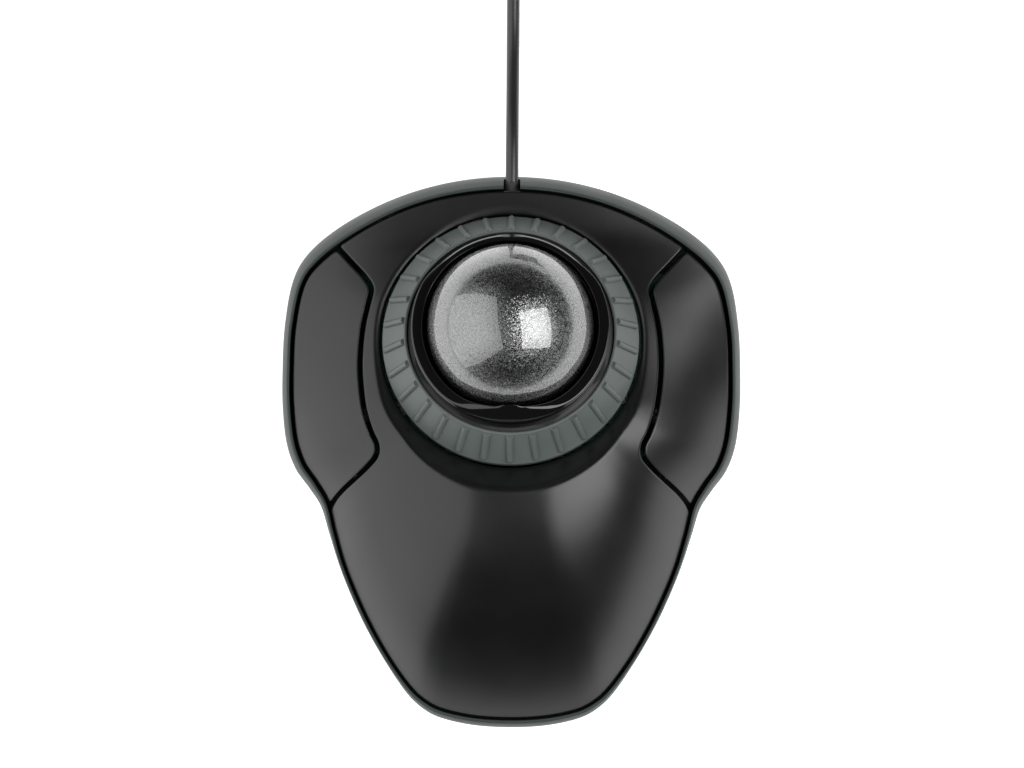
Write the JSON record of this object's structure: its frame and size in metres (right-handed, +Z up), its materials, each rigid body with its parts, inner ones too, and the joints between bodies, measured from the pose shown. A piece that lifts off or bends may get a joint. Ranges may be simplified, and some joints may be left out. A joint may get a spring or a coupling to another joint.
{
  "type": "trackball mouse",
  "caption": "Corded trackball mouse: shield-shaped case, ribbed scroll ring round a ball in a raised collar, side buttons, coiled cable with plug.",
  "frame": {"origin": "on the desk, under the middle of the case, cord left out", "axes": "+X to the user's right, +Y to the rear where the cord leaves, +Z up"},
  "size_m": [0.137, 0.2433, 0.0559],
  "materials": {
    "rim_plastic": "fine satin texture",
    "cover_plastic": "soft satin",
    "button_plastic": "fine grained satin",
    "ring_plastic": "satin",
    "gloss_black": "polished",
    "ball_resin": "polished, silver flake under clear resin",
    "inner_plastic": "moulded",
    "white_plastic": "moulded",
    "clear_lens": "clear",
    "red_lens": "clear red epoxy",
    "ceramic": "polished ceramic",
    "steel": "zinc plated",
    "circuit_board": "green solder mask",
    "chip_epoxy": "moulded epoxy",
    "rubber": "matte rubber",
    "cord_jacket": "smooth satin PVC",
    "tie_fabric": "hook and loop",
    "label_film": "plain film, blank",
    "plug_steel": "bright nickel",
    "gold": "gold plated"
  },
  "bodies": {
    "case": {"base_shell": "rim_plastic", "top_cover": "cover_plastic", "left_hinge_pin": "steel", "right_hinge_pin": "steel", "ring_retainer": "inner_plastic", "ball_collar": "gloss_black", "ball_cup": "inner_plastic", "support_bearings": "ceramic", "cup_screws": "steel", "sensor_board": "circuit_board", "sensor_chip": "chip_epoxy", "sensor_lens": "clear_lens", "sensor_led": "red_lens", "sensor_ribbon": "white_plastic", "main_board": "circuit_board", "board_screws": "steel", "microcontroller": "chip_epoxy", "board_parts": "steel", "ring_sensor": "chip_epoxy", "left_switch": "chip_epoxy", "right_switch": "chip_epoxy", "lead_connector": "white_plastic", "inner_lead": "cord_jacket", "cord_gland": "rubber", "rubber_feet": "rubber", "case_screws": "steel", "blank_label": "label_film", "cord_lead": "cord_jacket", "cord_coil": "cord_jacket", "cord_tie": "tie_fabric", "cord_tail": "cord_jacket", "plug_body": "rubber", "plug_shell": "plug_steel", "plug_tongue": "white_plastic", "plug_contacts": "gold"},
    "left_key": {"left_button": "button_plastic"},
    "right_key": {"right_button": "button_plastic"},
    "left_plunger_body": {"left_plunger": "white_plastic"},
    "right_plunger_body": {"right_plunger": "white_plastic"},
    "ring": {"scroll_ring": "ring_plastic"},
    "track_ball": {"ball": "ball_resin"}
  },
  "joints": [
    {"name": "left_button_press", "type": "hinge", "parent": "case", "child": "left_key", "pos_m": [-0.0415, -0.006, 0.011], "axis": [-1, 0, 0], "range_deg": [0, 1], "stiffness_Nm_per_rad": 0.9},
    {"name": "right_button_press", "type": "hinge", "parent": "case", "child": "right_key", "pos_m": [0.0415, -0.006, 0.011], "axis": [-1, 0, 0], "range_deg": [0, 1], "stiffness_Nm_per_rad": 0.9},
    {"name": "left_plunger_slide", "type": "slide", "parent": "case", "child": "left_plunger_body", "axis": [0, 0, -1], "range_m": [0, 0.0006]},
    {"name": "right_plunger_slide", "type": "slide", "parent": "case", "child": "right_plunger_body", "axis": [0, 0, -1], "range_m": [0, 0.0006]},
    {"name": "scroll_ring_spin", "type": "hinge", "parent": "case", "child": "ring", "pos_m": [0, 0.0273, 0.0254], "axis": [0, 0.2334, 0.9724], "continuous": true},
    {"name": "ball_roll", "type": "hinge", "parent": "case", "child": "track_ball", "pos_m": [0, 0.02982, 0.0359], "axis": [1, 0, 0], "continuous": true}
  ],
  "couplings": [
    {"joint": "left_plunger_slide", "follows": "left_button_press", "m_per_rad": 0.028},
    {"joint": "right_plunger_slide", "follows": "right_button_press", "m_per_rad": 0.028}
  ]
}
